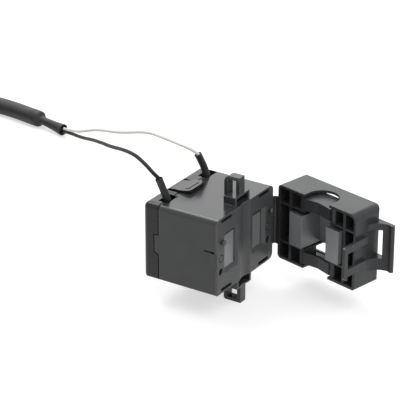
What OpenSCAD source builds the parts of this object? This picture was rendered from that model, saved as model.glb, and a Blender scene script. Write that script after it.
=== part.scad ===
// Split-core current transformer with its hinged cover swung open.
// Origin: middle of the mating plane, on the line that the conductor takes. +Z runs along the conductor,
// +Y goes back into the housing, and the cover closes from the -Y side about a film hinge on the +X side.

/* [Housing] */
// Width of both halves across the hinge and the latch
body_w = 50; // [44:0.5:60]
// Height of both halves along the conductor
body_h = 38.6; // [34:0.2:46]
// Depth from the mating plane to the back of the rear cap
body_d = 41.1; // [37:0.1:50]
// Depth of the rear cap
cap_d = 8.5; // [6:0.1:10]
// Thickness of the housing and cap walls
wall = 1.8; // [1.4:0.1:2.4]
// Thickness of the housing's front wall
face_t = 2.6; // [2.4:0.1:3.4]
// Rounding of the upper long edges
edge_r = 2.8; // [1:0.1:3.2]
// Rounding of the lower long edge on the latch side
lower_edge_r = 1; // [0.5:0.1:2]
// Rounding of the housing's front edge on the latch side
front_r = 1.2; // [0.5:0.1:1.6]

/* [Cover] */
// Depth of the cover behind the mating plane
cover_d = 17.7; // [16.5:0.1:24]
// Thickness of the cover's walls
cover_wall = 1.3; // [1:0.1:2]
// Rounding of the cover's back edge on the hinge side and lower long edge on the latch side
cover_r = 1.2; // [0.8:0.1:2]
// Rounding of the cover's long edges on the hinge side
cover_hinge_r = 2; // [0.8:0.1:3]
// Rounding of the cover's upper long edge on the latch side
cover_latch_r = 4; // [1:0.1:5]
// Rounding of the cover's back edge on the latch side
cover_back_r = 2.5; // [1:0.1:3]
// Angle that the cover is swung open at rest
open_angle = 76.5; // [0:0.5:180]
// Distance of the hinge's axis outside the housing's side
hinge_out = 1.93; // [1.6:0.01:3]
// Height of the hinge along the conductor
hinge_h = 24.8; // [16:0.2:28]

/* [Core] */
// Width of each core leg
leg_w = 8; // [6:0.1:9]
// Gap between the two legs, which the conductor runs through
leg_gap = 15.6; // [14:0.1:18]
// Height of the core along the conductor
core_h = 17; // [14:0.2:20]
// Thickness of the yoke in the housing
yoke_t = 5; // [4:0.1:7]
// Depth that the pole faces lie behind the mating plane
pole_in = 1.6; // [1.2:0.05:2.2]

/* [Conductor passage] */
// Width of the rounded notches in the cover's top and bottom
notch_w = 16; // [12:0.2:18]
// Distance of the notch's centre behind the cover's rim
notch_in = 4.2; // [1:0.1:5]
// Depth of each cable grip's top below the inside of the cover
grip_down = 0.9; // [0.5:0.1:2]

/* [Tie lugs] */
// Width of the lug's block across the housing
lug_w = 12.4; // [10:0.2:16]
// Height of the upper lug's block
lug_h = 4; // [3.4:0.1:6]
// Height of the lower lug's block
low_lug_h = 4.5; // [3.4:0.1:6]
// Width of the strap loop
loop_w = 4.5; // [3:0.1:8]
// Height of the upper loop above the housing
loop_h = 12.6; // [11:0.1:16]
// Height of the lower loop below the housing
low_loop_h = 13.4; // [11.4:0.1:16]

/* [Latch] */
// Height of each latch arm
arm_h = 3.7; // [2:0.1:4]
// Thickness of the latch arms
arm_t = 1.6; // [1:0.1:2.4]
// Reach of the latch past the cover's rim
latch_reach = 9; // [8:0.1:9.4]
// Reach of the pull tab past the cover's side
tab_reach = 8.1; // [7:0.1:14]

/* [Leads] */
// Diameter of the black lead
lead_dia = 1.9; // [1.2:0.1:2.6]
// Diameter of the white lead, which has a thinner wall
white_lead_dia = 1.6; // [1.2:0.1:2.4]
// Diameter of the shrink sleeves at the housing
sleeve_dia = 3.5; // [3:0.1:3.8]
// Diameter of the jacketed cable
cable_dia = 9.4; // [7:0.1:10]
// Middle diameter of the put-away coil
coil_dia = 110; // [100:1:120]

/* [Hidden] */
$fn = 64;
slip = 0.3;
face_gap = 0.1;
seam_gap = 0.5;
lap = 0.1;
past = 1;
inner_r = 0.6;
half_w = body_w / 2;
half_h = body_h / 2;
cap_y = body_d - cap_d;
inner_w = body_w - 2 * wall;
inner_h = body_h - 2 * wall;
hinge_x = half_w + hinge_out;
hinge_r = 0.5;
tab_end = hinge_x - hinge_r - slip;
tab_t = 1.3;
leg_in = leg_gap / 2;
leg_out = leg_in + leg_w;
leg_mid = leg_in + leg_w / 2;
core_back = cap_y - 4.6;
plastic = [0.16, 0.16, 0.17];
core_grey = [0.42, 0.45, 0.47];
copper = [0.6, 0.33, 0.16];
nylon = [0.85, 0.85, 0.8];
foam = [0.2, 0.2, 0.2];
tin = [0.75, 0.75, 0.78];
shrink = [0.12, 0.12, 0.12];
jacket = [0.14, 0.14, 0.14];
black_insulation = [0.1, 0.1, 0.1];
white_insulation = [0.92, 0.92, 0.9];

// Corner slits, alignment pins and holes of the mating face
slit_l = 9;
slit_h = 1.6;
slit_in = 3.4;
slit_x = half_w - 8.5;
slit_z = half_h - 1.7;
pin_x = half_w - 4;
pin_z = 7.5;
pin_d = 2.5;
pin_l = 2.4;
pin_tip = 0.6;
pin_root = 0.5;
hole_d = 3.2;
hole_rim = 4;
hole_in = 2.1;
hole_cone = 0.4;
mark_d = 4;
mark_w = 0.5;
mark_in = 0.4;
mark_z = -1;
hole_z = -8;
groove_w = 9;
groove_in = 0.9;
window_slack = 0.4;
window_rise = 2;
window_flare = 1;
window_out_flare = 2.1;
window_low_flare = 1.2;

// Catch for the latch on the housing's -X side
ramp_in = 0.5;
pocket_in = 1.2;
pocket_flat = 1.5;
lip_in = 0.4;
catch_y = 4.4;
catch_end = latch_reach + 0.7;
catch_top = 2.2;
catch_low = -8.2;
catch_slit = 1.1;
catch_slit_start = 1.3;
catch_slit_end = 7;

// Lead slots at the seam, and the snap tongue of the rear cap between them
slot_x = half_w - 8.1;
slot_shift = 1.2;
slot_l = 8.8;
slot_front = cap_y - 2.4;
slot_back = cap_y + 2.8;
tongue_w = 14;
tongue_front = cap_y - 6.2;
tongue_rise = 2.1;
tongue_gap = 0.8;
tongue_r = 2.2;
tongue_bar_w = 9;
tongue_bar_y = tongue_front + 2.4;
tongue_bar_d = 1.8;
tongue_bar_h = 0.2;
relief_w = 0.6;
relief_neck = 1.2;
relief_l = 3;
relief_back = body_d - edge_r + 0.6;
relief_in = 1.2;
side_tongue_l = 2.4;
side_tongue_top = 3.8;
side_tongue_low = -4.8;
side_tongue_slope = 1.2;
cap_r = edge_r;
cap_low_r = 3.6;

// Inside of the cover
cover_inner_w = body_w - 2 * cover_wall;
cover_inner_h = body_h - 2 * cover_wall;
cover_back = cover_d - cover_wall;
rib_in = 0.6;
rib_x = leg_out + 0.75;
rib_t = 1.5;
shelf_rib_t = 1;
shelf_rib_z = core_h / 2 + 1 + shelf_rib_t / 2;
grip_half = notch_w / 2 + 0.5;
guide_in = grip_half + 0.4;
guide_t = 2.4;
guide_r = 1.4;
grip_low = shelf_rib_z + shelf_rib_t / 2 + 0.5;
grip_top = cover_inner_h / 2 - grip_down;
grip_t = 1.1;
grip_vee = 1.4;
grip_front = 0.35;
grip_back = 12.5;
guide_deep = 10.3;
grip_shelf = 1;
pad_t = 1;
cover_yoke_t = 3.9;
window_half = rib_x - slip;
window_low = grip_low + 0.9;
window_top = grip_top + 0.4;

// Tie lugs
lug_front = 1.7;
low_lug_front = 0.4;
lug_end = 8.2;
lug_roof = 0.8;
lug_side = 1.2;
lug_back = 1.5;
lug_root = 0.5;
loop_front = 2;
low_loop_front = 1;
loop_end = 10.4;
post_t = 1.9;
loop_r = 3.2;
low_loop_r = 1.2;
loop_bar = 1.7;

// Latch and pull tab
arm_root = 6.5;
upper_arm_z = 4.6;
lower_arm_z = -7.2;
arm_rise = 1;
bar_w = 2.3;
bar_bevel = 0.8;
bar_foot = 1.7;
lip_gap = 1.2;
lip_top = 1.6;
lip_low = -2;
tab_h = 24;
tab_plate = 1.8;
tab_slot_w = 3.8;
tab_slot_h = 14.6;
tab_slot_z = 1.3;
tab_fillet = 8;
bead_d = 2.4;

// Bobbins and windings
bobbin_wall = 0.8;
bobbin_flange = 1;
bobbin_bore = 0.2;
bobbin_front = face_t + 0.9;
bobbin_back = core_back - yoke_t - 0.4;
winding_t = 3.2;
winding_in = 0.3;
winding_r = 2;
clamp_t = 1.6;
clamp_h = 12;
foam_t = 1.5;

// Leads: each sleeve leans back out of its slot, and each list is the lead's way to the junction
sleeve_in = 2;
black_base = [-half_w + 8.7, cap_y - 0.5, half_h - sleeve_in];
white_base = [half_w - 7.7, cap_y - 0.5, half_h - sleeve_in];
black_top = black_base + [-3.2, 3.4, 13];
white_top = white_base + [-2.8, 3.9, 13];
splice_d = 2.6;
splice_l = 8;

// Both leads come down to the junction on the floor, which is the level of the lower lug's end
floor_z = -half_h - low_loop_h;
junction_mouth_d = 6.7;
junction_waist_d = cable_dia / 2;
junction_flare = 3;
mouth_z = floor_z + junction_mouth_d / 2;
cable_z = floor_z + cable_dia / 2;
black_route = [black_top, [-18.5, 39.4, 32.5], [-15.2, 45.5, 33.7], [-8.6, 54.9, 32.7],
    [-1.6, 63.9, 30.2], [5.7, 72.4, 26.9], [13.2, 80.6, 23.4], [20.7, 88.7, 19.6], [28.2, 96.7, 15.8],
    [35.8, 104.7, 12], [43.5, 112.7, 8.1], [51.1, 120.6, 4.1], [58.7, 128.4, 0.2], [66.3, 136.2, -3.8],
    [74, 144, -7.8], [81.7, 151.9, -11.8], [89.2, 159.9, -15.7], [96.6, 168, -19.7],
    [103.8, 176.4, -23.4], [110.5, 185.3, -26.9], [116.1, 192.5, mouth_z - 1]];
white_route = [white_top, [13.6, 40.1, 32.4], [14.3, 47.1, 33.6], [18, 58.3, 32.7], [23.5, 68.5, 29.9],
    [30, 77.7, 26.2], [36.9, 86.5, 22.1], [43.9, 95.2, 18], [50.6, 104.2, 13.7], [57, 113.3, 9.4],
    [63.1, 122.5, 4.9], [69.2, 131.7, 0.5], [75.7, 140.7, -3.9], [82.5, 149.5, -8.4],
    [89.2, 158.2, -12.8], [95.9, 167.2, -17], [102.6, 176.2, -20.9], [109.6, 185.2, -24.7],
    [116.3, 191.9, mouth_z + 1.1]];
junction_start = [116.6, 192.8, mouth_z];
junction_end = [119.9, 212.5, cable_z];
cable_x = 123.5;
coil_y = 290;
cable_route = [junction_end, [121.5, 223.1, cable_z], [122.5, 229.6, cable_z],
    [123.2, 236.6, cable_z], [cable_x, 244.6, cable_z], [cable_x, 253.6, cable_z], [cable_x, 263.6, cable_z],
    [cable_x, 276, cable_z], [cable_x, coil_y, cable_z]];

// The put-away coil, whose outer turn goes on from the cable
coil_x = cable_x - (coil_dia + cable_dia) / 2;
turn_rise = cable_dia * 0.87;
tie_w = 2.5;
tie_t = 1.2;
tie_angle = 150;

// A flat outline in the XZ plane, pushed out from y0 to y1
module along_y(y0, y1) {
    translate([0, y1, 0])
        rotate([90, 0, 0])
            linear_extrude(height = y1 - y0)
                children();
}

// A flat outline in the YZ plane, pushed out from x0 to x1
module along_x(x0, x1) {
    translate([x0, 0, 0])
        rotate([90, 0, 90])
            linear_extrude(height = x1 - x0)
                children();
}

// A flat outline in the XY plane, pushed out from z0 to z1
module along_z(z0, z1) {
    translate([0, 0, z0])
        linear_extrude(height = z1 - z0)
            children();
}

module box(low, high) {
    translate(low)
        cube(high - low);
}

module mirrored_z() {
    children();
    mirror([0, 0, 1])
        children();
}

module mirrored_x() {
    children();
    mirror([1, 0, 0])
        children();
}

// Rectangle about the origin with a radius for each corner: lower left, lower right, upper right, upper left
module rounded_plate(w, h, radii) {
    sides = [[-1, -1], [1, -1], [1, 1], [-1, 1]];
    difference() {
        square([w, h], center = true);
        for (k = [0:3])
            corner_cut(sides[k].x * w / 2, sides[k].y * h / 2, sides[k], radii[k]);
    }
}

module corner_cut(x, y, side, r) {
    translate([x, y])
        difference() {
            translate([side.x * (1 - r) / 2, side.y * (1 - r) / 2])
                square(r + 1, center = true);
            translate([-side.x * r, -side.y * r])
                circle(r);
        }
}

module housing_outline() {
    rounded_plate(body_w, body_h, [lower_edge_r, edge_r, edge_r, edge_r]);
}

module housing_inside() {
    rounded_plate(inner_w, inner_h, [inner_r, inner_r, inner_r, inner_r]);
}

// Straight round rod from one point to another
module rod(from, to, d) {
    way = to - from;
    translate(from)
        rotate([0, acos(way.z / norm(way)), atan2(way.y, way.x)])
            cylinder(h = norm(way), d = d);
}

function unit(v) = v / norm(v);

// Direction of a route at one of its points
function heading(route, k) =
    unit(route[min(k + 1, len(route) - 1)] - route[max(k - 1, 0)]);

// Ring of points around a route, square to its heading
function ring(route, k, d, sides) =
    let (along = heading(route, k), side = unit(cross([0, 0, 1], along)), top = cross(along, side))
    [for (s = [0:sides - 1]) route[k] + d / 2 * (cos(360 * s / sides) * side + sin(360 * s / sides) * top)];

// Smooth run through the route's points, with one more point in the middle of each stretch
function smooth(route) = [
    for (k = [0:len(route) - 1])
        each k == len(route) - 1 ? [route[k]] : [route[k], midway(route, k)]
];

function midway(route, k) =
    let (last = len(route) - 1, before = route[max(k - 1, 0)], after = route[min(k + 2, last)])
    (9 * (route[k] + route[k + 1]) - before - after) / 16;

// Tube along a route as one closed solid
module tube(route, d, sides) {
    run = smooth(route);
    n = len(run);
    points = [for (k = [0:n - 1]) each ring(run, k, d, sides)];
    walls = [
        for (k = [0:n - 2], s = [0:sides - 1])
            let (next = (s + 1) % sides)
            [k * sides + s, (k + 1) * sides + s, (k + 1) * sides + next, k * sides + next]
    ];
    start = [for (s = [0:sides - 1]) s];
    end = [for (s = [sides - 1:-1:0]) (n - 1) * sides + s];
    polyhedron(points, concat(walls, [start, end]), convexity = 6);
}

// Carries a piece of the closed cover to where the cover stands open
module swung_open() {
    translate([hinge_x, 0, 0])
        rotate([0, 0, open_angle])
            translate([-hinge_x, 0, 0])
                children();
}

module main_housing() {
    color(plastic)
        difference() {
            union() {
                difference() {
                    along_y(0, cap_y - seam_gap)
                        housing_outline();
                    along_y(face_t, cap_y)
                        housing_inside();
                }
                mirrored_x()
                    side_tongue();
                tie_lug(lug_front, lug_h, loop_front, loop_h, loop_r);
                mirror([0, 0, 1])
                    tie_lug(low_lug_front, low_lug_h, low_loop_front, low_loop_h, low_loop_r);
                box([half_w - wall, face_gap, -hinge_h / 2], [tab_end, face_gap + tab_t, hinge_h / 2]);
                mirrored_x()
                    alignment_pin();
            }
            mirrored_x()
                pole_window();
            passage_groove();
            mirrored_x()
                mirrored_z()
                    box([slit_x - slit_l / 2, -past, slit_z - slit_h / 2],
                        [slit_x + slit_l / 2, slit_in, slit_z + slit_h / 2]);
            mirrored_x()
                face_marks();
            along_z(-half_h - past, half_h + past)
                corner_cut(-half_w, 0, [-1, -1], front_r);
            latch_catch();
            lead_slots();
        }
}

// Tongue of the housing's side wall that keys into the rear cap
module side_tongue() {
    front = cap_y - seam_gap;
    back = front + side_tongue_l;
    foot = side_tongue_low - side_tongue_slope;
    along_x(half_w - wall, half_w)
        polygon([
            [front - past, side_tongue_top], [front - past, foot], [front, foot],
            [back, side_tongue_low], [back, side_tongue_top],
        ]);
}

// Block with a pocket at its front and a strap loop that a cable tie passes through along X
module tie_lug(front, rise, post_front, loop_rise, corner_r) {
    top = half_h + loop_rise;
    shelf = half_h + rise;
    pocket = lug_w / 2 - lug_side;
    difference() {
        box([-lug_w / 2, front, half_h - lug_root], [lug_w / 2, lug_end, shelf]);
        box([-pocket, front - past, half_h], [pocket, lug_end - lug_back, shelf - lug_roof]);
    }
    along_x(-loop_w / 2, loop_w / 2)
        difference() {
            union() {
                translate([post_front, shelf - lug_roof])
                    square([post_t, top - shelf + lug_roof]);
                translate([loop_end - post_t, half_h - lug_root])
                    square([post_t, loop_rise + lug_root]);
                translate([post_front, top - loop_bar])
                    square([loop_end - post_front, loop_bar]);
            }
            corner_cut(loop_end, top, [1, 1], corner_r);
        }
}

module alignment_pin() {
    translate([pin_x, pin_root, pin_z])
        rotate([90, 0, 0]) {
            cylinder(h = pin_l, d = pin_d);
            translate([0, 0, pin_l])
                cylinder(h = pin_tip, d1 = pin_d, d2 = pin_d / 2);
        }
}

// Hole with a conical rim, and the round mark of an ejector pin above it
module face_marks() {
    translate([pin_x, 0, hole_z])
        rotate([-90, 0, 0]) {
            translate([0, 0, -past])
                cylinder(h = past + hole_in, d = hole_d);
            cylinder(h = hole_cone, d1 = hole_rim, d2 = hole_d);
        }
    along_y(-past, mark_in)
        translate([pin_x, mark_z])
            difference() {
                circle(d = mark_d);
                circle(d = mark_d - 2 * mark_w);
            }
}

// Opening over one pole face, with bevelled sides and a sloping sill that the pole rests on
module pole_window() {
    low = -core_h / 2;
    foot = low - window_low_flare;
    high = core_h / 2 + window_rise;
    near = leg_in - window_slack;
    far = leg_out + window_slack;
    deep = pole_in - lap;
    intersection() {
        along_z(foot, high)
            polygon([
                [near - window_flare, -lap], [far + window_out_flare, -lap], [far + window_out_flare, 0],
                [far, deep], [near, deep], [near - window_flare, 0],
            ]);
        along_x(near - window_flare, far + window_out_flare)
            polygon([[-lap, high], [-lap, foot], [0, foot], [deep, low], [deep, high]]);
    }
    box([near, deep - lap, low], [far, face_t + lap, high]);
}

// Shallow round channel that the conductor lies against
module passage_groove() {
    r = (groove_w * groove_w / 4 + groove_in * groove_in) / (2 * groove_in);
    reach = half_h + low_lug_h + past;
    translate([0, groove_in - r, -reach])
        cylinder(h = 2 * reach, r = r, $fn = 128);
}

module latch_catch() {
    outside = -half_w - past;
    pocket = -half_w + pocket_in;
    intersection() {
        union() {
            box([outside, -past, catch_low], [-half_w + ramp_in, catch_y + lap, catch_top]);
            along_z(catch_low, catch_top)
                polygon([
                    [outside, catch_y], [pocket, catch_y], [pocket, catch_y + pocket_flat],
                    [-half_w, catch_end], [outside, catch_end],
                ]);
        }
        along_y(-past, catch_end)
            polygon([
                [outside, catch_low], [-half_w, catch_low], [pocket, catch_top - past],
                [pocket, catch_top], [outside, catch_top],
            ]);
    }
    box([outside, catch_slit_start, catch_top - lap],
        [-half_w + wall + lap, catch_slit_end, catch_top + catch_slit]);
}

module lead_slots() {
    for (side = [-1, 1])
        box([side * slot_x + slot_shift - slot_l / 2, slot_front, half_h - wall - past],
            [side * slot_x + slot_shift + slot_l / 2, slot_back, half_h + past]);
}

module rear_cap() {
    color(plastic)
        difference() {
            union() {
                difference() {
                    cap_block();
                    along_y(cap_y - past, body_d - wall)
                        housing_inside();
                    mirrored_x()
                        side_tongue_room();
                    lead_slots();
                }
                snap_tongue();
            }
            mirrored_x()
                tongue_relief();
        }
}

// Slot beside the tongue, which widens where the tongue's neck joins the cap
module tongue_relief() {
    edge = tongue_w / 2 + relief_w;
    neck = tongue_w / 2 - relief_neck;
    along_z(half_h - relief_in, half_h + tongue_rise + past)
        polygon([
            [edge, cap_y - past], [edge, relief_back], [neck, relief_back], [neck, relief_back - relief_l],
            [tongue_w / 2, cap_y + relief_w], [tongue_w / 2, cap_y - past],
        ]);
}

// Outer form of the cap, with its back edges rounded and balls in its upper back corners
module cap_block() {
    length = cap_d + 2 * cap_r;
    middle = body_d - length / 2;
    difference() {
        intersection() {
            along_y(cap_y, body_d)
                housing_outline();
            along_z(-half_h, half_h)
                translate([0, middle])
                    rounded_plate(body_w, length, [lap, lap, cap_r, cap_r]);
            along_x(-half_w, half_w)
                translate([middle, 0])
                    rounded_plate(length, body_h, [lap, cap_low_r, cap_r, lap]);
        }
        mirrored_x()
            ball_corner();
    }
}

// What lies outside a ball in the cap's upper back corner
module ball_corner() {
    centre = [half_w - cap_r, body_d - cap_r, half_h - cap_r];
    difference() {
        translate(centre)
            cube(cap_r + past);
        translate(centre)
            sphere(cap_r);
    }
}

module side_tongue_room() {
    back = cap_y + side_tongue_l;
    top = side_tongue_top + seam_gap;
    low = side_tongue_low - seam_gap;
    foot = low - side_tongue_slope;
    along_x(half_w - wall - slip, half_w + past)
        polygon([[cap_y - past, top], [cap_y - past, foot], [cap_y, foot], [back, low], [back, top]]);
}

// Tongue of the cap that rises forward over the housing's top, with a low grip bar
module snap_tongue() {
    back = body_d - cap_r;
    root_front = cap_y + seam_gap;
    bar_back = tongue_bar_y + tongue_bar_d;
    bar_front_z = tongue_top(tongue_bar_y);
    bar_back_z = tongue_top(bar_back);
    root = tongue_w / 2 - inner_r;
    intersection() {
        along_z(half_h, half_h + tongue_rise + lap)
            translate([0, (tongue_front + back) / 2])
                rounded_plate(tongue_w, back - tongue_front, [tongue_r, tongue_r, lap, lap]);
        along_x(-tongue_w / 2, tongue_w / 2)
            polygon([
                [back, half_h - lap], [back, half_h], [tongue_front, tongue_top(tongue_front)],
                [tongue_front, half_h + tongue_gap], [root_front, half_h + lap], [root_front, half_h - lap],
            ]);
    }
    box([-root, root_front, half_h - wall / 2], [root, back, half_h + lap]);
    along_x(-tongue_bar_w / 2, tongue_bar_w / 2)
        polygon([
            [tongue_bar_y, bar_front_z - lap], [tongue_bar_y, bar_front_z + tongue_bar_h],
            [bar_back, bar_back_z + tongue_bar_h], [bar_back, bar_back_z - lap],
        ]);
}

// Height of the tongue's upper face, which is level with the cap at its back
function tongue_top(y) = half_h + tongue_rise * (body_d - cap_r - y) / (body_d - cap_r - tongue_front);

module fixed_core() {
    color(core_grey)
        along_z(-core_h / 2, core_h / 2)
            difference() {
                translate([-leg_out, pole_in])
                    square([2 * leg_out, core_back - pole_in]);
                translate([-leg_in, pole_in - past])
                    square([leg_gap, core_back - yoke_t - pole_in + past]);
            }
}

// Rectangular ring around one leg, outlined in the XZ plane
module leg_ring(inside, outside, r) {
    difference() {
        rounded_plate(leg_w + 2 * outside, core_h + 2 * outside, [r, r, r, r]);
        square([leg_w + 2 * inside, core_h + 2 * inside], center = true);
    }
}

module bobbin(side) {
    barrel = bobbin_bore + bobbin_wall;
    flange = barrel + winding_t;
    color(nylon)
        translate([side * leg_mid, 0, 0]) {
            along_y(bobbin_front, bobbin_back)
                leg_ring(bobbin_bore, barrel, inner_r);
            along_y(bobbin_front, bobbin_front + bobbin_flange)
                leg_ring(bobbin_bore, flange, inner_r);
            along_y(bobbin_back - bobbin_flange, bobbin_back)
                leg_ring(bobbin_bore, flange, inner_r);
        }
}

module left_bobbin() {
    bobbin(-1);
}

module right_bobbin() {
    bobbin(1);
}

module winding(side) {
    barrel = bobbin_bore + bobbin_wall;
    color(copper)
        translate([side * leg_mid, 0, 0])
            along_y(bobbin_front + bobbin_flange, bobbin_back - bobbin_flange)
                leg_ring(barrel, barrel + winding_t - winding_in, winding_r);
}

module left_winding() {
    winding(-1);
}

module right_winding() {
    winding(1);
}

module core_pad() {
    color(foam)
        box([-leg_out, core_back, -clamp_h / 2], [leg_out, core_back + foam_t, clamp_h / 2]);
}

// Bar that wedges between the housing's side walls and holds the core forward
module core_clamp() {
    front = core_back + foam_t;
    color(nylon)
        box([-inner_w / 2, front, -clamp_h / 2], [inner_w / 2, front + clamp_t, clamp_h / 2]);
}

// Crimp inside the housing, where the winding's wire meets a lead
module splice(base) {
    color(tin)
        translate(base - [0, 0, splice_l])
            cylinder(h = splice_l, d = splice_d);
}

module black_splice() {
    splice(black_base);
}

module white_splice() {
    splice(white_base);
}

// Thin web between the halves: a round bead on the hinge's axis with a strip that joins the housing's tab
module film_hinge() {
    color(plastic) {
        translate([hinge_x, 0, -hinge_h / 2])
            cylinder(h = hinge_h, r = hinge_r);
        box([tab_end, face_gap, -hinge_h / 2], [hinge_x, hinge_r - lap, hinge_h / 2]);
    }
}

module black_lead_sleeve() {
    color(shrink)
        rod(black_base, black_top, sleeve_dia);
}

module white_lead_sleeve() {
    color(shrink)
        rod(white_base, white_top, sleeve_dia);
}

module black_lead() {
    color(black_insulation)
        tube(black_route, lead_dia, 8);
}

module white_lead() {
    color(white_insulation)
        tube(white_route, white_lead_dia, 8);
}

// Shrink sleeve over the place where both leads enter the cable
module junction_sleeve() {
    way = junction_end - junction_start;
    length = norm(way);
    neck = length - junction_flare;
    color(shrink)
        translate(junction_start)
            rotate([0, acos(way.z / length), atan2(way.y, way.x)]) {
                cylinder(h = neck, d1 = junction_mouth_d, d2 = junction_waist_d);
                translate([0, 0, neck])
                    cylinder(h = junction_flare, d1 = junction_waist_d, d2 = cable_dia);
            }
}

module cable() {
    color(jacket)
        tube(cable_route, cable_dia, 12);
}

// Outer shape of the put-away turns: two side by side on the floor and one on top of them
module cable_coil() {
    color(jacket)
        translate([coil_x, coil_y, floor_z + cable_dia / 2])
            rotate_extrude($fn = 48) {
                for (step = [-1, 1])
                    translate([coil_dia / 2 + step * cable_dia / 2, 0])
                        circle(d = cable_dia, $fn = 16);
                translate([coil_dia / 2, turn_rise])
                    circle(d = cable_dia, $fn = 16);
                translate([coil_dia / 2 - cable_dia / 2, -cable_dia / 2])
                    square([cable_dia, cable_dia / 2 + turn_rise]);
            }
}

// Strap over the turns of the coil, with both its ends on the floor
module coil_tie() {
    wide = cable_dia + lap;
    tall = turn_rise + cable_dia + lap;
    color(nylon)
        translate([coil_x, coil_y, floor_z])
            rotate([0, 0, tie_angle])
                translate([coil_dia / 2, 0, 0])
                    difference() {
                        box([-wide - tie_t, -tie_w / 2, 0], [wide + tie_t, tie_w / 2, tall + tie_t]);
                        box([-wide, -tie_w, -past], [wide, tie_w, tall]);
                    }
}

module cover_housing() {
    color(plastic)
        swung_open() {
            difference() {
                union() {
                    cover_shell();
                    cover_ribs();
                }
                mirrored_z()
                    cover_notch();
                mirrored_z()
                    box([-window_half, -cover_d - past, window_low],
                        [window_half, -cover_back + lap, window_top]);
            }
            box([half_w - cover_wall, -face_gap - tab_t, -hinge_h / 2], [tab_end, -face_gap, hinge_h / 2]);
            latch();
            pull_tab();
        }
}

module cover_shell() {
    difference() {
        intersection() {
            along_y(-cover_d, -face_gap)
                rounded_plate(body_w, body_h, [cover_r, cover_hinge_r, cover_hinge_r, cover_latch_r]);
            along_z(-half_h, half_h)
                translate([0, -cover_d / 2])
                    rounded_plate(body_w, cover_d, [cover_back_r, cover_r, lap, lap]);
        }
        along_y(-cover_back, past)
            rounded_plate(cover_inner_w, cover_inner_h,
                [inner_r, inner_r, inner_r, max(inner_r, cover_latch_r - cover_wall)]);
    }
}

// Walls inside the cover that hold the core and guide the grips
module cover_ribs() {
    deep = -cover_back - lap;
    top = cover_inner_h / 2 + lap;
    mirrored_x() {
        box([rib_x, deep, -top], [rib_x + rib_t, -rib_in, top]);
        mirrored_z() {
            box([leg_in + 2 * lap, deep, shelf_rib_z - shelf_rib_t / 2],
                [half_w - cover_wall / 2, -rib_in, shelf_rib_z + shelf_rib_t / 2]);
            along_z(shelf_rib_z, top)
                difference() {
                    translate([guide_in, -guide_deep])
                        square([guide_t, guide_deep - rib_in]);
                    corner_cut(guide_in + guide_t, -rib_in, [1, 1], guide_r);
                }
        }
    }
}

// Rounded notch through the cover's top wall
module cover_notch() {
    along_z(cover_inner_h / 2 - lap, half_h + past) {
        translate([0, -notch_in])
            circle(d = notch_w);
        translate([-notch_w / 2, -notch_in])
            square([notch_w, notch_in + past]);
    }
}

// Two arms along the cover's side, joined past the rim by a bar with a catch lip
module latch() {
    inside = -half_w - slip;
    outside = inside - arm_t;
    root = -half_w + cover_wall / 2;
    foot = lower_arm_z - arm_h / 2 - bar_foot;
    top = arm_middle(upper_arm_z, latch_reach - bar_w) + arm_h / 2;
    for (z = [upper_arm_z, lower_arm_z]) {
        along_x(outside, inside)
            latch_arm(z, latch_reach - past);
        along_x(inside - lap, root)
            latch_arm(z, -past);
    }
    along_x(outside, inside)
        polygon([
            [latch_reach - bar_w, top], [latch_reach, top - bar_bevel], [latch_reach, foot + 2 * bar_bevel],
            [latch_reach - 2 * bar_bevel, foot], [latch_reach - bar_w, foot],
        ]);
    box([inside - lap, latch_reach - bar_w + lap, lip_low],
        [inside + lip_in, latch_reach - lip_gap, lip_top]);
}

// Side view of one arm, which rises a little towards its root
module latch_arm(z, end) {
    root_z = arm_middle(z, -arm_root);
    end_z = arm_middle(z, end);
    polygon([
        [-arm_root, root_z - arm_h / 2], [end, end_z - arm_h / 2], [end, end_z + arm_h / 2],
        [-arm_root, root_z + arm_h / 2],
    ]);
}

function arm_middle(z, y) = z + arm_rise * (latch_reach - y) / (latch_reach + arm_root);

// Tab that is pulled to free the latch, swept out of the cover's side with a hollow curve
module pull_tab() {
    back = -cover_d;
    front = back + tab_plate;
    tip = -half_w - tab_reach;
    root = -half_w + cover_wall / 2;
    slot_low = tab_slot_z - tab_slot_h / 2;
    slot_top = tab_slot_z + tab_slot_h / 2;
    difference() {
        union() {
            box([tip, back, -tab_h / 2], [root, front, tab_h / 2]);
            box([root - lap, back, -tab_h / 2], [-half_w + cover_back_r, -cover_back, tab_h / 2]);
            along_z(-tab_h / 2, tab_h / 2)
                difference() {
                    translate([-half_w - tab_fillet, front - lap])
                        square([tab_fillet + cover_wall / 2, tab_fillet + lap]);
                    translate([-half_w - tab_fillet, front + tab_fillet])
                        circle(tab_fillet);
                }
            translate([tip, back + bead_d / 2, -tab_h / 2])
                cylinder(h = tab_h, d = bead_d);
        }
        box([-half_w - tab_slot_w, back - past, slot_low],
            [-half_w + cover_back_r, front + tab_fillet + past, slot_top]);
    }
}

module cover_core() {
    yoke_back = -cover_back + pad_t;
    pole = pole_in - face_gap;
    color(core_grey)
        swung_open()
            along_z(-core_h / 2, core_h / 2)
                difference() {
                    translate([-leg_out, yoke_back])
                        square([2 * leg_out, pole - yoke_back]);
                    translate([-leg_in, yoke_back + cover_yoke_t])
                        square([leg_gap, pole - yoke_back - cover_yoke_t + past]);
                }
}

module cover_pad() {
    color(foam)
        swung_open()
            box([-leg_out, -cover_back, -clamp_h / 2], [leg_out, -cover_back + pad_t, clamp_h / 2]);
}

// Springy saddle that presses the conductor into the groove: a vee wall with a shelf behind it
module cable_grip() {
    vee = [[-grip_half, -grip_front], [0, -grip_front - grip_vee], [grip_half, -grip_front]];
    wall_back = [for (k = [2:-1:0]) vee[k] - [0, grip_t]];
    color(plastic)
        swung_open() {
            along_z(grip_low, grip_top)
                polygon(concat(vee, wall_back));
            along_z(grip_top - grip_shelf, grip_top)
                polygon(concat(vee, [[grip_half, -grip_back], [-grip_half, -grip_back]]));
        }
}

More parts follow.
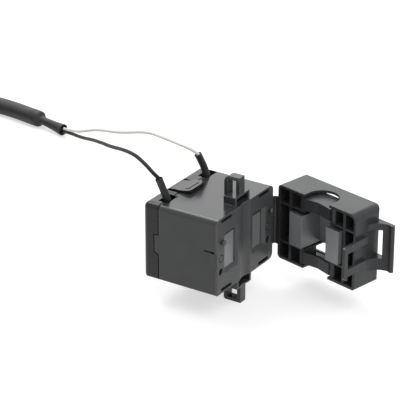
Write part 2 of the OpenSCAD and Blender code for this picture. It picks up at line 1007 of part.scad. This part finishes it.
module upper_grip() {
    cable_grip();
}

module lower_grip() {
    mirror([0, 0, 1])
        cable_grip();
}

main_housing();
rear_cap();
fixed_core();
left_bobbin();
right_bobbin();
left_winding();
right_winding();
core_pad();
core_clamp();
black_splice();
white_splice();
film_hinge();
black_lead_sleeve();
white_lead_sleeve();
black_lead();
white_lead();
junction_sleeve();
cable();
cable_coil();
coil_tie();
cover_housing();
cover_core();
cover_pad();
upper_grip();
lower_grip();
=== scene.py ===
"""Looks of a split-core current transformer that stands open, with its leads and its put-away cable.

The part's frame has +Z along the conductor, +Y back into the housing and +X towards the hinge. Its origin is
the middle of the mating plane. Named sizes and places of the part are in millimetres, as in its source, and
those of materials, floor and lamps in metres.
"""
import math

import bmesh
import bpy
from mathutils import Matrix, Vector


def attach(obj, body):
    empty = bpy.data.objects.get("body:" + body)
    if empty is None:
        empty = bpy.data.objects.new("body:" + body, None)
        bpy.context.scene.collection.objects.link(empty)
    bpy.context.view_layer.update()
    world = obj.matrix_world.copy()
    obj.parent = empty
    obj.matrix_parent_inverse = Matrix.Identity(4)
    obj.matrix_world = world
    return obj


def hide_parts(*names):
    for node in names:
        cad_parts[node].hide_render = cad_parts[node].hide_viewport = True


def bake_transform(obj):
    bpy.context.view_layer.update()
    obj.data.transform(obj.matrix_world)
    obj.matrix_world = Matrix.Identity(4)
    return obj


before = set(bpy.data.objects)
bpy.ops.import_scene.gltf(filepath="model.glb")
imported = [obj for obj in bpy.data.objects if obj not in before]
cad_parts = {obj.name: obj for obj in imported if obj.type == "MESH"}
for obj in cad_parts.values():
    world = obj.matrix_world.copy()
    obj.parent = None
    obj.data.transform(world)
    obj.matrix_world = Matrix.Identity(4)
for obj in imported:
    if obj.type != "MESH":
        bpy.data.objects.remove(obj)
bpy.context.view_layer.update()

MM = 0.001

# Level of the floor, on which the lower tie loop stands
FLOOR_Z = -32.7

# Camera that the photograph was taken with
IMAGE_SIZE = 400
CAMERA_TARGET = (-23.6, 10.0, 27.3)
CAMERA_AZIMUTH = math.radians(-57.04)
CAMERA_ELEVATION = math.radians(24.76)
CAMERA_DISTANCE = 950.6
FOCAL_PIXELS = 2077
SENSOR_WIDTH = 36
NEAREST_SEEN = 0.01
FARTHEST_SEEN = 20

# Cords: their sizes, and the points that each one runs through
BLACK_LEAD_DIA = 1.9
WHITE_LEAD_DIA = 1.6
CABLE_DIA = 9.4
MOUTH_DIA = 6.7
WAIST_DIA = 4.7
SLEEVE_DIA = 3.5
SLEEVE_MOUTH = 1.6
MOUTH_Z = FLOOR_Z + MOUTH_DIA / 2
CABLE_Z = FLOOR_Z + CABLE_DIA / 2
BLACK_BASE = (-16.3, 32.1, 17.3)
WHITE_BASE = (17.3, 32.1, 17.3)
BLACK_TOP = (-19.5, 35.5, 30.3)
WHITE_TOP = (14.5, 36, 30.3)
BLACK_ROUTE = [
    BLACK_TOP, (-18.5, 39.4, 31.9), (-15.2, 45.5, 33.1), (-8.6, 54.9, 32.5), (-1.6, 63.9, 30.1),
    (5.7, 72.4, 26.7), (13.2, 80.6, 22.9), (20.7, 88.7, 18.9), (28.2, 96.7, 15), (35.8, 104.7, 11.2),
    (43.5, 112.7, 7.5), (51.1, 120.6, 3.6), (58.7, 128.4, -0.2), (66.3, 136.2, -4.2), (74, 144, -8.3),
    (81.7, 151.9, -12.5), (89.2, 159.9, -16.4), (96.6, 168, -20.2), (103.8, 176.4, -23.6),
    (110.5, 185.3, -26.9), (116.1, 192.5, MOUTH_Z - 1),
]
WHITE_ROUTE = [
    WHITE_TOP, (13.6, 40.1, 32.4), (14.3, 47.1, 33.1), (18, 58.3, 32.4), (23.5, 68.5, 30.1),
    (30, 77.7, 26.4), (36.9, 86.5, 22), (43.9, 95.2, 17.4), (50.6, 104.2, 12.9), (57, 113.3, 8.7),
    (63.1, 122.5, 5), (69.2, 131.7, 1.3), (75.7, 140.7, -2.9), (82.5, 149.5, -7.6),
    (89.2, 158.2, -12.3), (95.9, 167.2, -17), (102.6, 176.2, -20.9), (109.6, 185.2, -24.7),
    (116.3, 191.9, MOUTH_Z + 1.1),
]
JUNCTION_START = (116.6, 192.8, MOUTH_Z)
JUNCTION_END = (119.9, 212.5, CABLE_Z)
CABLE_X = 123.5
CABLE_ROUTE = [
    JUNCTION_END, (121.5, 223.1, CABLE_Z), (122.5, 229.6, CABLE_Z), (123.2, 236.6, CABLE_Z),
    (CABLE_X, 244.6, CABLE_Z), (CABLE_X, 253.6, CABLE_Z), (CABLE_X, 263.6, CABLE_Z), (CABLE_X, 276, CABLE_Z),
]
ROUTE_STEPS = 6
SLEEVE_STEPS = 10
CORD_ROUNDNESS = 6

# Share of its thickness that the cable keeps where the junction's sleeve grips it, and for how far
GRIPPED_SHARE = 0.9
GRIPPED_LENGTH = 2

# Put-away coil: the top turn lies this high above the others, between them
COIL_Y = 290
COIL_RADIUS = 55
COIL_STEP = 5
TOP_TURN = CABLE_DIA * 0.87

# Strap about the coil: start, end, width, underside and top of its buckle and of its tail
STRAP_ANGLE = 150
STRAP_WIDTH = 2.5
STRAP_THICKNESS = 1.2
STRAP_GAP = 0.1
BUCKLE = (-2, 2, 4.6, 0, 3)
STRAP_TAIL = (2, 5, STRAP_WIDTH, 1, 2.2)

# Stripped conductors at the cable's end
CONDUCTOR_DIA = 2.2
CONDUCTOR_SIDE = 1.25
CONDUCTOR_START = 933
CONDUCTOR_SWEEP = 32
CONDUCTOR_STEPS = 12
CONDUCTOR_FALL = 4.6
FALL_SPEED = 1.6
TIP_SHARE = 0.6

# Film hinge: the middle of its web at rest, from the housing's tab to the cover's
HINGE_HALF = 12.4
HINGE_WEB = [
    (25.7, 0.42), (26.2, 0.42), (26.6, 0.36), (26.9, 0.16), (27.1, -0.14), (27.2, -0.5), (27.25, -0.9),
    (27.32, -1.5),
]
WEB_THICKNESS = 0.55

# Faces picked by where their normals point, with painted light or painted shade on them: the axis of their
# normals, where the difference begins and where it is full, how much rougher they are, and how much their
# colour is raised as painted light, or lowered as painted shade where the number is below nought
# Housing faces that look to -Y: rougher, and lighter in colour as painted light
MATING_FACE_PAINTED_LIGHT = ("Y", -0.2, -0.6, 0.25, 0.036)
# Cap faces that look to -Y, seen only in the seam: rougher, and darker in colour as painted shade in the
# seam
SEAM_FACE_PAINTED_SHADE = ("Y", -0.6, -0.9, 0.5, -0.008)
# Core faces that look up: rougher, and much darker in colour as painted shade
CORE_TOP_PAINTED_SHADE = ("Z", 0.6, 0.9, 0.3, -0.225)

# Finishes: the part of the noise that is used, the depth of the grain, and how round the edges look
NOISE_LOW = 0.3
NOISE_HIGH = 0.7
GRAIN_STRENGTH = 0.5
EDGE_SAMPLES = 6
EDGE = 0.0003
HOUSING_EDGE = 0.0006

# Floor and light
WHITE = (1, 1, 1, 1)
FLOOR_SIZE = 3
FLOOR_COLOUR = (0.5, 0.5, 0.5, 1)
FLOOR_ROUGHNESS = 0.9
FLOOR_GLOW = 0.57
WORLD_LIGHT = 0.55
LAMPS = [
    ("front_softbox", (-0.25, -0.85, 1.15), (1.0, 1.0), 10),
    ("top_softbox", (0.29, 0.59, 1.0), (0.95, 0.5), 7),
    ("left_softbox", (-0.6, 0.55, 0.8), (0.7, 0.7), 0.3),
    ("back_softbox", (1.0, 0.65, 0.75), (1.0, 1.0), 3.4),
]

# Nodes of the part that are shown as they are, by finish
SHOWN = {
    "housing_plastic": ["main_housing"],
    # The cap is the housing's plastic, made darker as painted shade
    "cap_plastic_painted_shade": ["rear_cap"],
    "black_plastic": ["cover_housing", "upper_grip", "lower_grip"],
    "core": ["fixed_core", "cover_core"],
    "nylon": ["left_bobbin", "right_bobbin", "core_clamp"],
    "copper": ["left_winding", "right_winding"],
    "foam": ["core_pad", "cover_pad"],
    "tin": ["black_splice", "white_splice"],
}


def link(obj):
    bpy.context.scene.collection.objects.link(obj)
    return obj


def camera():
    back = Vector((
        math.sin(CAMERA_AZIMUTH) * math.cos(CAMERA_ELEVATION),
        -math.cos(CAMERA_AZIMUTH) * math.cos(CAMERA_ELEVATION),
        math.sin(CAMERA_ELEVATION),
    ))
    data = bpy.data.cameras.new("camera")
    data.sensor_width = SENSOR_WIDTH
    data.lens = FOCAL_PIXELS * SENSOR_WIDTH / IMAGE_SIZE
    data.clip_start = NEAREST_SEEN
    data.clip_end = FARTHEST_SEEN
    obj = link(bpy.data.objects.new("camera", data))
    obj.location = (Vector(CAMERA_TARGET) + CAMERA_DISTANCE * back) * MM
    obj.rotation_euler = back.to_track_quat("Z", "Y").to_euler()
    bpy.context.scene.camera = obj


def noise(tree, scale, detail, stretch):
    """Noise over the piece's own coordinates."""
    coords = tree.nodes.new("ShaderNodeTexCoord")
    mapping = tree.nodes.new("ShaderNodeMapping")
    mapping.inputs["Scale"].default_value = stretch
    node = tree.nodes.new("ShaderNodeTexNoise")
    node.inputs["Scale"].default_value = scale
    node.inputs["Detail"].default_value = detail
    tree.links.new(coords.outputs["Object"], mapping.inputs["Vector"])
    tree.links.new(mapping.outputs["Vector"], node.inputs["Vector"])
    return node.outputs["Fac"]


def spread(tree, source, low, high):
    """The noise's middle part, spread from one number to another."""
    node = tree.nodes.new("ShaderNodeMapRange")
    node.inputs["From Min"].default_value = NOISE_LOW
    node.inputs["From Max"].default_value = NOISE_HIGH
    node.inputs["To Min"].default_value = low
    node.inputs["To Max"].default_value = high
    tree.links.new(source, node.inputs["Value"])
    return node.outputs["Result"]


def surface(
    name, dark, light, rough, grain, depth, cloud=90, stretch=(1, 1, 1), edge=0.0, metallic=0.0, shine=0.5,
):
    """Finish whose colour and gloss drift in soft clouds, with a fine grain.

    Its edges look rounded to the radius edge, and shine sets how strongly it mirrors.
    """
    mat = bpy.data.materials.new(name)
    mat.use_nodes = True
    tree = mat.node_tree
    shader = tree.nodes["Principled BSDF"]
    clouds = noise(tree, cloud, 3, stretch)
    ramp = tree.nodes.new("ShaderNodeValToRGB")
    ramp.color_ramp.elements[0].position = NOISE_LOW
    ramp.color_ramp.elements[0].color = (*dark, 1)
    ramp.color_ramp.elements[1].position = NOISE_HIGH
    ramp.color_ramp.elements[1].color = (*light, 1)
    tree.links.new(clouds, ramp.inputs["Fac"])
    tree.links.new(ramp.outputs["Color"], shader.inputs["Base Color"])
    tree.links.new(spread(tree, clouds, *rough), shader.inputs["Roughness"])
    shader.inputs["Metallic"].default_value = metallic
    shader.inputs["Specular IOR Level"].default_value = shine
    bump = tree.nodes.new("ShaderNodeBump")
    bump.inputs["Strength"].default_value = GRAIN_STRENGTH
    bump.inputs["Distance"].default_value = depth
    tree.links.new(noise(tree, grain, 2, stretch), bump.inputs["Height"])
    if edge:
        bevel = tree.nodes.new("ShaderNodeBevel")
        bevel.samples = EDGE_SAMPLES
        bevel.inputs["Radius"].default_value = edge
        tree.links.new(bevel.outputs["Normal"], bump.inputs["Normal"])
    tree.links.new(bump.outputs["Normal"], shader.inputs["Normal"])
    return mat


def paint_face_light(mat, axis, begin, full, rougher, painted_lightness):
    """Makes the faces whose normal goes from begin to full along an axis rougher, and adds painted light to
    their colour, or painted shade where the gain is below nought.
    """
    tree = mat.node_tree
    shader = tree.nodes["Principled BSDF"]
    coords = tree.nodes.new("ShaderNodeTexCoord")
    split = tree.nodes.new("ShaderNodeSeparateXYZ")
    tree.links.new(coords.outputs["Normal"], split.inputs["Vector"])
    mask = tree.nodes.new("ShaderNodeMapRange")
    mask.inputs["From Min"].default_value = begin
    mask.inputs["From Max"].default_value = full
    tree.links.new(split.outputs[axis], mask.inputs["Value"])
    # The Base Color gain paints light (above nought) or shade (below nought) on the masked faces
    gains = (("Roughness", "ShaderNodeMath", rougher), ("Base Color", "ShaderNodeVectorMath", painted_lightness))
    for socket, kind, gain in gains:
        source = shader.inputs[socket].links[0].from_socket
        scaled = tree.nodes.new("ShaderNodeMath")
        scaled.operation = "MULTIPLY"
        scaled.inputs[1].default_value = gain
        tree.links.new(mask.outputs["Result"], scaled.inputs[0])
        total = tree.nodes.new(kind)
        total.operation = "ADD"
        tree.links.new(source, total.inputs[0])
        tree.links.new(scaled.outputs[0], total.inputs[1])
        tree.links.new(total.outputs[0], shader.inputs[socket])
    return mat


def finishes():
    """All the finishes: two colours, a range of roughness, and the scale and depth of the grain."""
    plastic = ((0.026, 0.027, 0.029), (0.034, 0.035, 0.037))
    # Darker copy of the same plastic for the cap: painted shade on the cap
    painted_shade_plastic = ((0.008, 0.0085, 0.009), (0.013, 0.0135, 0.014))
    polished = ((0.13, 0.18), 2600, 0.00003)
    satin = ((0.26, 0.38), 1300, 0.00009)
    core = surface(
        "core", (0.235, 0.241, 0.247), (0.257, 0.264, 0.271), (0.32, 0.4), 1800, 0.00002,
        cloud=240, stretch=(6, 6, 1), edge=EDGE, metallic=0.3)
    return {
        # housing plastic, with painted light on its faces that look to -Y
        "housing_plastic": paint_face_light(
            surface("housing_plastic", *plastic, *polished, edge=HOUSING_EDGE, shine=0.42), *MATING_FACE_PAINTED_LIGHT),
        # cap plastic: a darker copy of the housing plastic as painted shade, with more painted shade on its
        # seam faces
        "cap_plastic_painted_shade": paint_face_light(
            surface("cap_plastic_painted_shade", *painted_shade_plastic, *polished, edge=EDGE, shine=0.32), *SEAM_FACE_PAINTED_SHADE),
        "black_plastic": surface("black_plastic", *plastic, *satin, edge=EDGE, shine=0.34),
        # core, with painted shade on its faces that look up
        "core": paint_face_light(core, *CORE_TOP_PAINTED_SHADE),
        "nylon": surface("nylon", (0.72, 0.71, 0.66), (0.8, 0.79, 0.74), (0.35, 0.5), 1500, 0.00003),
        "copper": surface(
            "copper", (0.5, 0.22, 0.09), (0.66, 0.31, 0.13), (0.25, 0.4), 900, 0.00012,
            stretch=(1, 6, 1), metallic=0.9),
        "foam": surface("foam", (0.03, 0.03, 0.03), (0.05, 0.05, 0.05), (0.85, 0.95), 1200, 0.0002),
        "tin": surface(
            "tin", (0.6, 0.6, 0.62), (0.75, 0.75, 0.77), (0.25, 0.4), 1200, 0.00004, metallic=1.0),
        "shrink": surface(
            "shrink", (0.014, 0.014, 0.015), (0.022, 0.022, 0.023), (0.42, 0.55), 1400, 0.00006, shine=0.36),
        "black_insulation": surface(
            "black_insulation", (0.006, 0.006, 0.007), (0.01, 0.01, 0.011), (0.5, 0.6), 1200, 0.00004,
            shine=0.16),
        "white_insulation": surface(
            "white_insulation", (0.68, 0.68, 0.65), (0.74, 0.74, 0.71), (0.35, 0.45), 1200, 0.00004),
        "jacket": surface(
            "jacket", (0.02, 0.02, 0.021), (0.029, 0.029, 0.03), (0.42, 0.55), 900, 0.00006, shine=0.4),
    }


def dress(mats):
    """Gives each shown node of the part its finish."""
    for finish, names in SHOWN.items():
        for name in names:
            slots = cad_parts[name].data.materials
            slots.clear()
            slots.append(mats[finish])


def smooth_run(points, steps):
    """Points of one smooth curve through the given ones, in metres."""
    run = []
    last = len(points) - 1
    for k in range(last):
        before = Vector(points[max(k - 1, 0)])
        here = Vector(points[k])
        after = Vector(points[k + 1])
        beyond = Vector(points[min(k + 2, last)])
        for step in range(steps):
            t = step / steps
            run.append((
                here * (1 - 2.5 * t * t + 1.5 * t ** 3)
                + after * (0.5 * t + 2 * t * t - 1.5 * t ** 3)
                + before * (-0.5 * t + t * t - 0.5 * t ** 3)
                + beyond * (-0.5 * t * t + 0.5 * t ** 3)
            ) * MM)
    run.append(Vector(points[last]) * MM)
    return run


def run_length(run):
    return sum((b - a).length for a, b in zip(run, run[1:]))


def cord_curve(name, run, diameter, mat, radii=None):
    """Round cord along a run of points."""
    data = bpy.data.curves.new(name, "CURVE")
    data.dimensions = "3D"
    data.bevel_depth = diameter * MM / 2
    data.bevel_resolution = CORD_ROUNDNESS
    data.use_fill_caps = True
    spline = data.splines.new("POLY")
    spline.points.add(len(run) - 1)
    for k, point in enumerate(run):
        spline.points[k].co = (*point, 1)
        spline.points[k].radius = radii[k] if radii else 1
    spline.use_smooth = True
    data.materials.append(mat)
    return link(bpy.data.objects.new(name, data))


def mesh_piece(name, points, faces, mat, smooth=True):
    mesh = bpy.data.meshes.new(name)
    mesh.from_pydata(points, [], faces)
    bm = bmesh.new()
    bm.from_mesh(mesh)
    bmesh.ops.recalc_face_normals(bm, faces=bm.faces)
    bm.to_mesh(mesh)
    bm.free()
    for face in mesh.polygons:
        face.use_smooth = smooth
    mesh.materials.append(mat)
    return link(bpy.data.objects.new(name, mesh))


def turned(name, run, stations, mat, sides=40):
    """Round form about a run: each station is a distance along it and a radius, both in millimetres."""
    along = [0.0]
    for a, b in zip(run, run[1:]):
        along.append(along[-1] + (b - a).length)
    points = []
    for distance, radius in stations:
        d = min(max(distance * MM, 0.0), along[-1])
        k = next(i for i in range(1, len(along)) if along[i] >= d or i == len(along) - 1)
        way = (run[k] - run[k - 1]).normalized()
        middle = run[k - 1] + way * (distance * MM - along[k - 1])
        side = way.cross(Vector((0, 0, 1)))
        if side.length < 0.01:
            side = way.cross(Vector((1, 0, 0)))
        side.normalize()
        top = side.cross(way)
        for s in range(sides):
            angle = 2 * math.pi * s / sides
            points.append(middle + (side * math.cos(angle) + top * math.sin(angle)) * radius * MM)
    faces = []
    for k in range(len(stations) - 1):
        for s in range(sides):
            after = (s + 1) % sides
            faces.append((k * sides + s, k * sides + after, (k + 1) * sides + after, (k + 1) * sides + s))
    faces.append(tuple(range(sides)))
    faces.append(tuple(range((len(stations) - 1) * sides, len(stations) * sides)))
    return mesh_piece(name, points, faces, mat)


def coil_run():
    """Turns of the put-away cable: one outside and one inside on the floor, then one on top of both."""
    half = CABLE_DIA / 2
    stations = [
        (0, COIL_RADIUS + half, 0), (285, COIL_RADIUS + half, 0), (350, COIL_RADIUS - half, 0),
        (585, COIL_RADIUS - half, 0), (650, COIL_RADIUS, CABLE_DIA), (725, COIL_RADIUS, CABLE_DIA),
        (760, COIL_RADIUS, TOP_TURN), (940, COIL_RADIUS, TOP_TURN),
    ]
    run = []
    for (a0, r0, z0), (a1, r1, z1) in zip(stations, stations[1:]):
        for angle in range(a0, a1, COIL_STEP):
            t = (angle - a0) / (a1 - a0)
            ease = t * t * (3 - 2 * t)
            run.append(on_coil(angle, r0 + (r1 - r0) * ease, z0 + (z1 - z0) * ease))
    return run


def on_coil(angle, radius, rise):
    """Point at an angle about the coil's middle, above the level of the lowest turns."""
    turn = math.radians(angle)
    middle_x = CABLE_X - COIL_RADIUS - CABLE_DIA / 2
    return Vector((
        middle_x + radius * math.cos(turn), COIL_Y + radius * math.sin(turn), CABLE_Z + rise,
    )) * MM


def lead(name, base, top, route, diameter, mats, node, finish):
    """One insulated lead, from inside its sleeve to the junction."""
    way = (Vector(top) - Vector(base)).normalized()
    run = smooth_run([Vector(top) - way * SLEEVE_MOUTH] + route, ROUTE_STEPS)
    piece = cord_curve(name, run, diameter, mats[finish])
    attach(piece, "housing")
    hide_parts(node)


def sleeve(name, base, top, sway, mats, node):
    """Shrink sleeve with an open end, bowed sideways by sway in its middle."""
    middle = (Vector(base) + Vector(top)) / 2 + Vector(sway)
    run = smooth_run([base, middle, top], SLEEVE_STEPS)
    length = run_length(run) / MM
    r = SLEEVE_DIA / 2
    stations = [
        (0, r * 1.06), (2, r * 1.05), (4, r * 1.01), (7, r), (length - 2, r), (length - 0.3, r * 1.03),
        (length - 0.05, r), (length, r * 0.93), (length - 0.1, r * 0.85), (length - SLEEVE_MOUTH, r * 0.8),
        (length - SLEEVE_MOUTH, r * 0.1),
    ]
    piece = turned(name, run, stations, mats["shrink"])
    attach(piece, "housing")
    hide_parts(node)


def junction(mats):
    """Shrink sleeve from the cable's end to the leads: a domed shoulder, a waist and an open mouth."""
    r = CABLE_DIA / 2
    mouth = MOUTH_DIA / 2
    waist = WAIST_DIA / 2
    stations = [
        (4, 0.2), (4, mouth - 1.1), (2.5, mouth - 0.8), (0.3, mouth - 0.5), (0, mouth - 0.35),
        (0, mouth - 0.1), (0.3, mouth), (2, mouth - 0.2), (6, mouth - 0.6), (11, waist + 0.15),
        (15, waist), (16.9, waist + 0.1), (17.6, waist + 0.4), (17.9, waist + 0.95), (18.3, r - 0.7),
        (19, r - 0.2), (20.2, r - 0.04), (22, r), (24.2, r), (24.4, r - 0.2),
    ]
    run = [Vector(JUNCTION_START) * MM] + smooth_run(CABLE_ROUTE[:3], ROUTE_STEPS)
    piece = turned("junction_shrink", run, stations, mats["shrink"])
    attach(piece, "housing")
    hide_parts("junction_sleeve")
    return piece


def coil_strap(mats):
    """Strap over the three turns, with a buckle head and a cut tail."""
    half = CABLE_DIA / 2
    hug = half + STRAP_GAP
    outline = [(-CABLE_DIA - STRAP_GAP, 0)]
    for angle in range(180, 120, -15):
        outline.append(arc(-half, half, hug, angle))
    for angle in range(120, 45, -15):
        outline.append(arc(0, half + TOP_TURN, hug, angle))
    for angle in range(60, -15, -15):
        outline.append(arc(half, half, hug, angle))
    outline.append((CABLE_DIA + STRAP_GAP, 0))
    points = []
    for k, (u, v) in enumerate(outline):
        before = Vector(outline[max(k - 1, 0)])
        after = Vector(outline[min(k + 1, len(outline) - 1)])
        way = (after - before).normalized()
        out = Vector((-way.y, way.x))
        for shift in (0, STRAP_THICKNESS):
            for side in (-0.5, 0.5):
                points.append(strap_point(u + out.x * shift, side * STRAP_WIDTH, max(v + out.y * shift, 0)))
    faces = [(0, 1, 3, 2)]
    last = len(outline) - 1
    for k in range(last):
        for a, b in ((0, 1), (1, 3), (3, 2), (2, 0)):
            faces.append((4 * k + a, 4 * k + b, 4 * k + 4 + b, 4 * k + 4 + a))
    faces.append((4 * last, 4 * last + 2, 4 * last + 3, 4 * last + 1))
    top = CABLE_DIA + TOP_TURN + STRAP_GAP
    for u0, u1, wide, v0, v1 in (BUCKLE, STRAP_TAIL):
        first = len(points)
        for u in (u0, u1):
            for v in (top + v0, top + v1):
                points.extend([strap_point(u, -wide / 2, v), strap_point(u, wide / 2, v)])
        for side in ((0, 1, 3, 2), (4, 6, 7, 5), (0, 4, 5, 1), (2, 3, 7, 6), (0, 2, 6, 4), (1, 5, 7, 3)):
            faces.append(tuple(first + k for k in side))
    strap = mesh_piece("coil_strap", points, faces, mats["nylon"], smooth=False)
    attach(strap, "housing")
    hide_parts("coil_tie")
    return strap


def arc(u, v, r, angle):
    """Point of a circle in the strap's plane."""
    turn = math.radians(angle)
    return (u + r * math.cos(turn), v + r * math.sin(turn))


def strap_point(out, along, up):
    """Point of the strap: out from the coil's middle circle, along the turn, and up from the floor."""
    turn = math.radians(STRAP_ANGLE)
    middle_x = CABLE_X - COIL_RADIUS - CABLE_DIA / 2
    r = COIL_RADIUS + out
    return Vector((
        middle_x + r * math.cos(turn) - along * math.sin(turn),
        COIL_Y + r * math.sin(turn) + along * math.cos(turn),
        FLOOR_Z + up,
    )) * MM


def stripped_end(mats):
    """Two conductors with tinned tips that come out of the cable's end and lie on the turns."""
    pieces = []
    for side, colour in ((-1, "black"), (1, "white")):
        finish = colour + "_insulation"
        run = []
        for step in range(CONDUCTOR_STEPS + 1):
            t = step / CONDUCTOR_STEPS
            fall = CONDUCTOR_FALL * min(t * t * (3 - 2 * t) * FALL_SPEED, 1)
            angle = CONDUCTOR_START + CONDUCTOR_SWEEP * t
            run.append(on_coil(angle, COIL_RADIUS + side * CONDUCTOR_SIDE, TOP_TURN - fall))
        wire = cord_curve(colour + "_conductor", run[:-1], CONDUCTOR_DIA, mats[finish])
        tip = cord_curve(colour + "_tip", run[-3:], CONDUCTOR_DIA * TIP_SHARE, mats["tin"])
        for piece, slot in ((wire, finish), (tip, "tin")):
            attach(piece, "housing")
            pieces.append(piece)
    return pieces


def cords(mats):
    sleeve("black_shrink", BLACK_BASE, BLACK_TOP, (0, 0, 0), mats, "black_lead_sleeve")
    sleeve("white_shrink", WHITE_BASE, WHITE_TOP, (0.35, -0.35, 0), mats, "white_lead_sleeve")
    lead("black_lead_wire", BLACK_BASE, BLACK_TOP, BLACK_ROUTE, BLACK_LEAD_DIA, mats, "black_lead",
         "black_insulation")
    lead("white_lead_wire", WHITE_BASE, WHITE_TOP, WHITE_ROUTE, WHITE_LEAD_DIA, mats, "white_lead",
         "white_insulation")
    run = smooth_run(CABLE_ROUTE, ROUTE_STEPS) + coil_run()
    gripped = (JUNCTION_END[1] + GRIPPED_LENGTH) * MM
    radii = [GRIPPED_SHARE if point.y < gripped else 1 for point in run]
    cable = cord_curve("cable_jacket", run, CABLE_DIA, mats["jacket"], radii)
    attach(cable, "housing")
    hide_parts("cable", "cable_coil")
    others = [junction(mats), coil_strap(mats)] + stripped_end(mats)


def film_hinge(mats):
    """Web that curves between the housing's tab and the cover's, in its shape at rest."""
    points = []
    last = len(HINGE_WEB) - 1
    for k, (x, y) in enumerate(HINGE_WEB):
        before = Vector(HINGE_WEB[max(k - 1, 0)])
        after = Vector(HINGE_WEB[min(k + 1, last)])
        way = (after - before).normalized()
        out = Vector((-way.y, way.x)) * WEB_THICKNESS / 2
        for side in (-1, 1):
            for z in (-HINGE_HALF, HINGE_HALF):
                points.append(Vector((x + side * out.x, y + side * out.y, z)) * MM)
    faces = [(0, 1, 3, 2)]
    for k in range(last):
        for a, b in ((0, 1), (1, 3), (3, 2), (2, 0)):
            faces.append((4 * k + a, 4 * k + b, 4 * k + 4 + b, 4 * k + 4 + a))
    faces.append((4 * last, 4 * last + 2, 4 * last + 3, 4 * last + 1))
    web = mesh_piece("hinge_web", points, faces, mats["black_plastic"], smooth=False)
    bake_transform(web)
    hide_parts("film_hinge")


def seen_rays(tree):
    """1 for rays of the camera and for mirrored or refracted ones, otherwise 0."""
    path = tree.nodes.new("ShaderNodeLightPath")
    total = path.outputs["Is Camera Ray"]
    for name in ("Is Glossy Ray", "Is Transmission Ray"):
        node = tree.nodes.new("ShaderNodeMath")
        node.operation = "MAXIMUM"
        tree.links.new(total, node.inputs[0])
        tree.links.new(path.outputs[name], node.inputs[1])
        total = node.outputs[0]
    return total


def floor():
    bm = bmesh.new()
    bmesh.ops.create_grid(bm, x_segments=1, y_segments=1, size=FLOOR_SIZE)
    mesh = bpy.data.meshes.new("floor")
    bm.to_mesh(mesh)
    bm.free()
    obj = link(bpy.data.objects.new("floor", mesh))
    obj.location = (0, 0, FLOOR_Z * MM)
    mat = bpy.data.materials.new("floor_white")
    mat.use_nodes = True
    tree = mat.node_tree
    shader = tree.nodes["Principled BSDF"]
    shader.inputs["Base Color"].default_value = FLOOR_COLOUR
    shader.inputs["Roughness"].default_value = FLOOR_ROUGHNESS
    shader.inputs["Emission Color"].default_value = WHITE
    glow = tree.nodes.new("ShaderNodeMath")
    glow.operation = "MULTIPLY"
    glow.inputs[1].default_value = FLOOR_GLOW
    tree.links.new(seen_rays(tree), glow.inputs[0])
    tree.links.new(glow.outputs[0], shader.inputs["Emission Strength"])
    mesh.materials.append(mat)


def softbox(name, place, size, power):
    data = bpy.data.lights.new(name, "AREA")
    data.shape = "RECTANGLE"
    data.size = size[0]
    data.size_y = size[1]
    data.energy = power
    obj = link(bpy.data.objects.new(name, data))
    obj.location = place
    obj.rotation_euler = Vector(place).to_track_quat("Z", "Y").to_euler()


def studio():
    world = bpy.data.worlds.new("studio")
    world.use_nodes = True
    tree = world.node_tree
    background = tree.nodes["Background"]
    background.inputs["Color"].default_value = WHITE
    level = tree.nodes.new("ShaderNodeMapRange")
    level.inputs["To Min"].default_value = WORLD_LIGHT
    level.inputs["To Max"].default_value = 1
    tree.links.new(seen_rays(tree), level.inputs["Value"])
    tree.links.new(level.outputs["Result"], background.inputs["Strength"])
    bpy.context.scene.world = world
    for name, place, size, power in LAMPS:
        softbox(name, place, size, power)
    bpy.context.scene.view_settings.view_transform = "Standard"


camera()
finish_by_name = finishes()
dress(finish_by_name)
cords(finish_by_name)
film_hinge(finish_by_name)
floor()
studio()
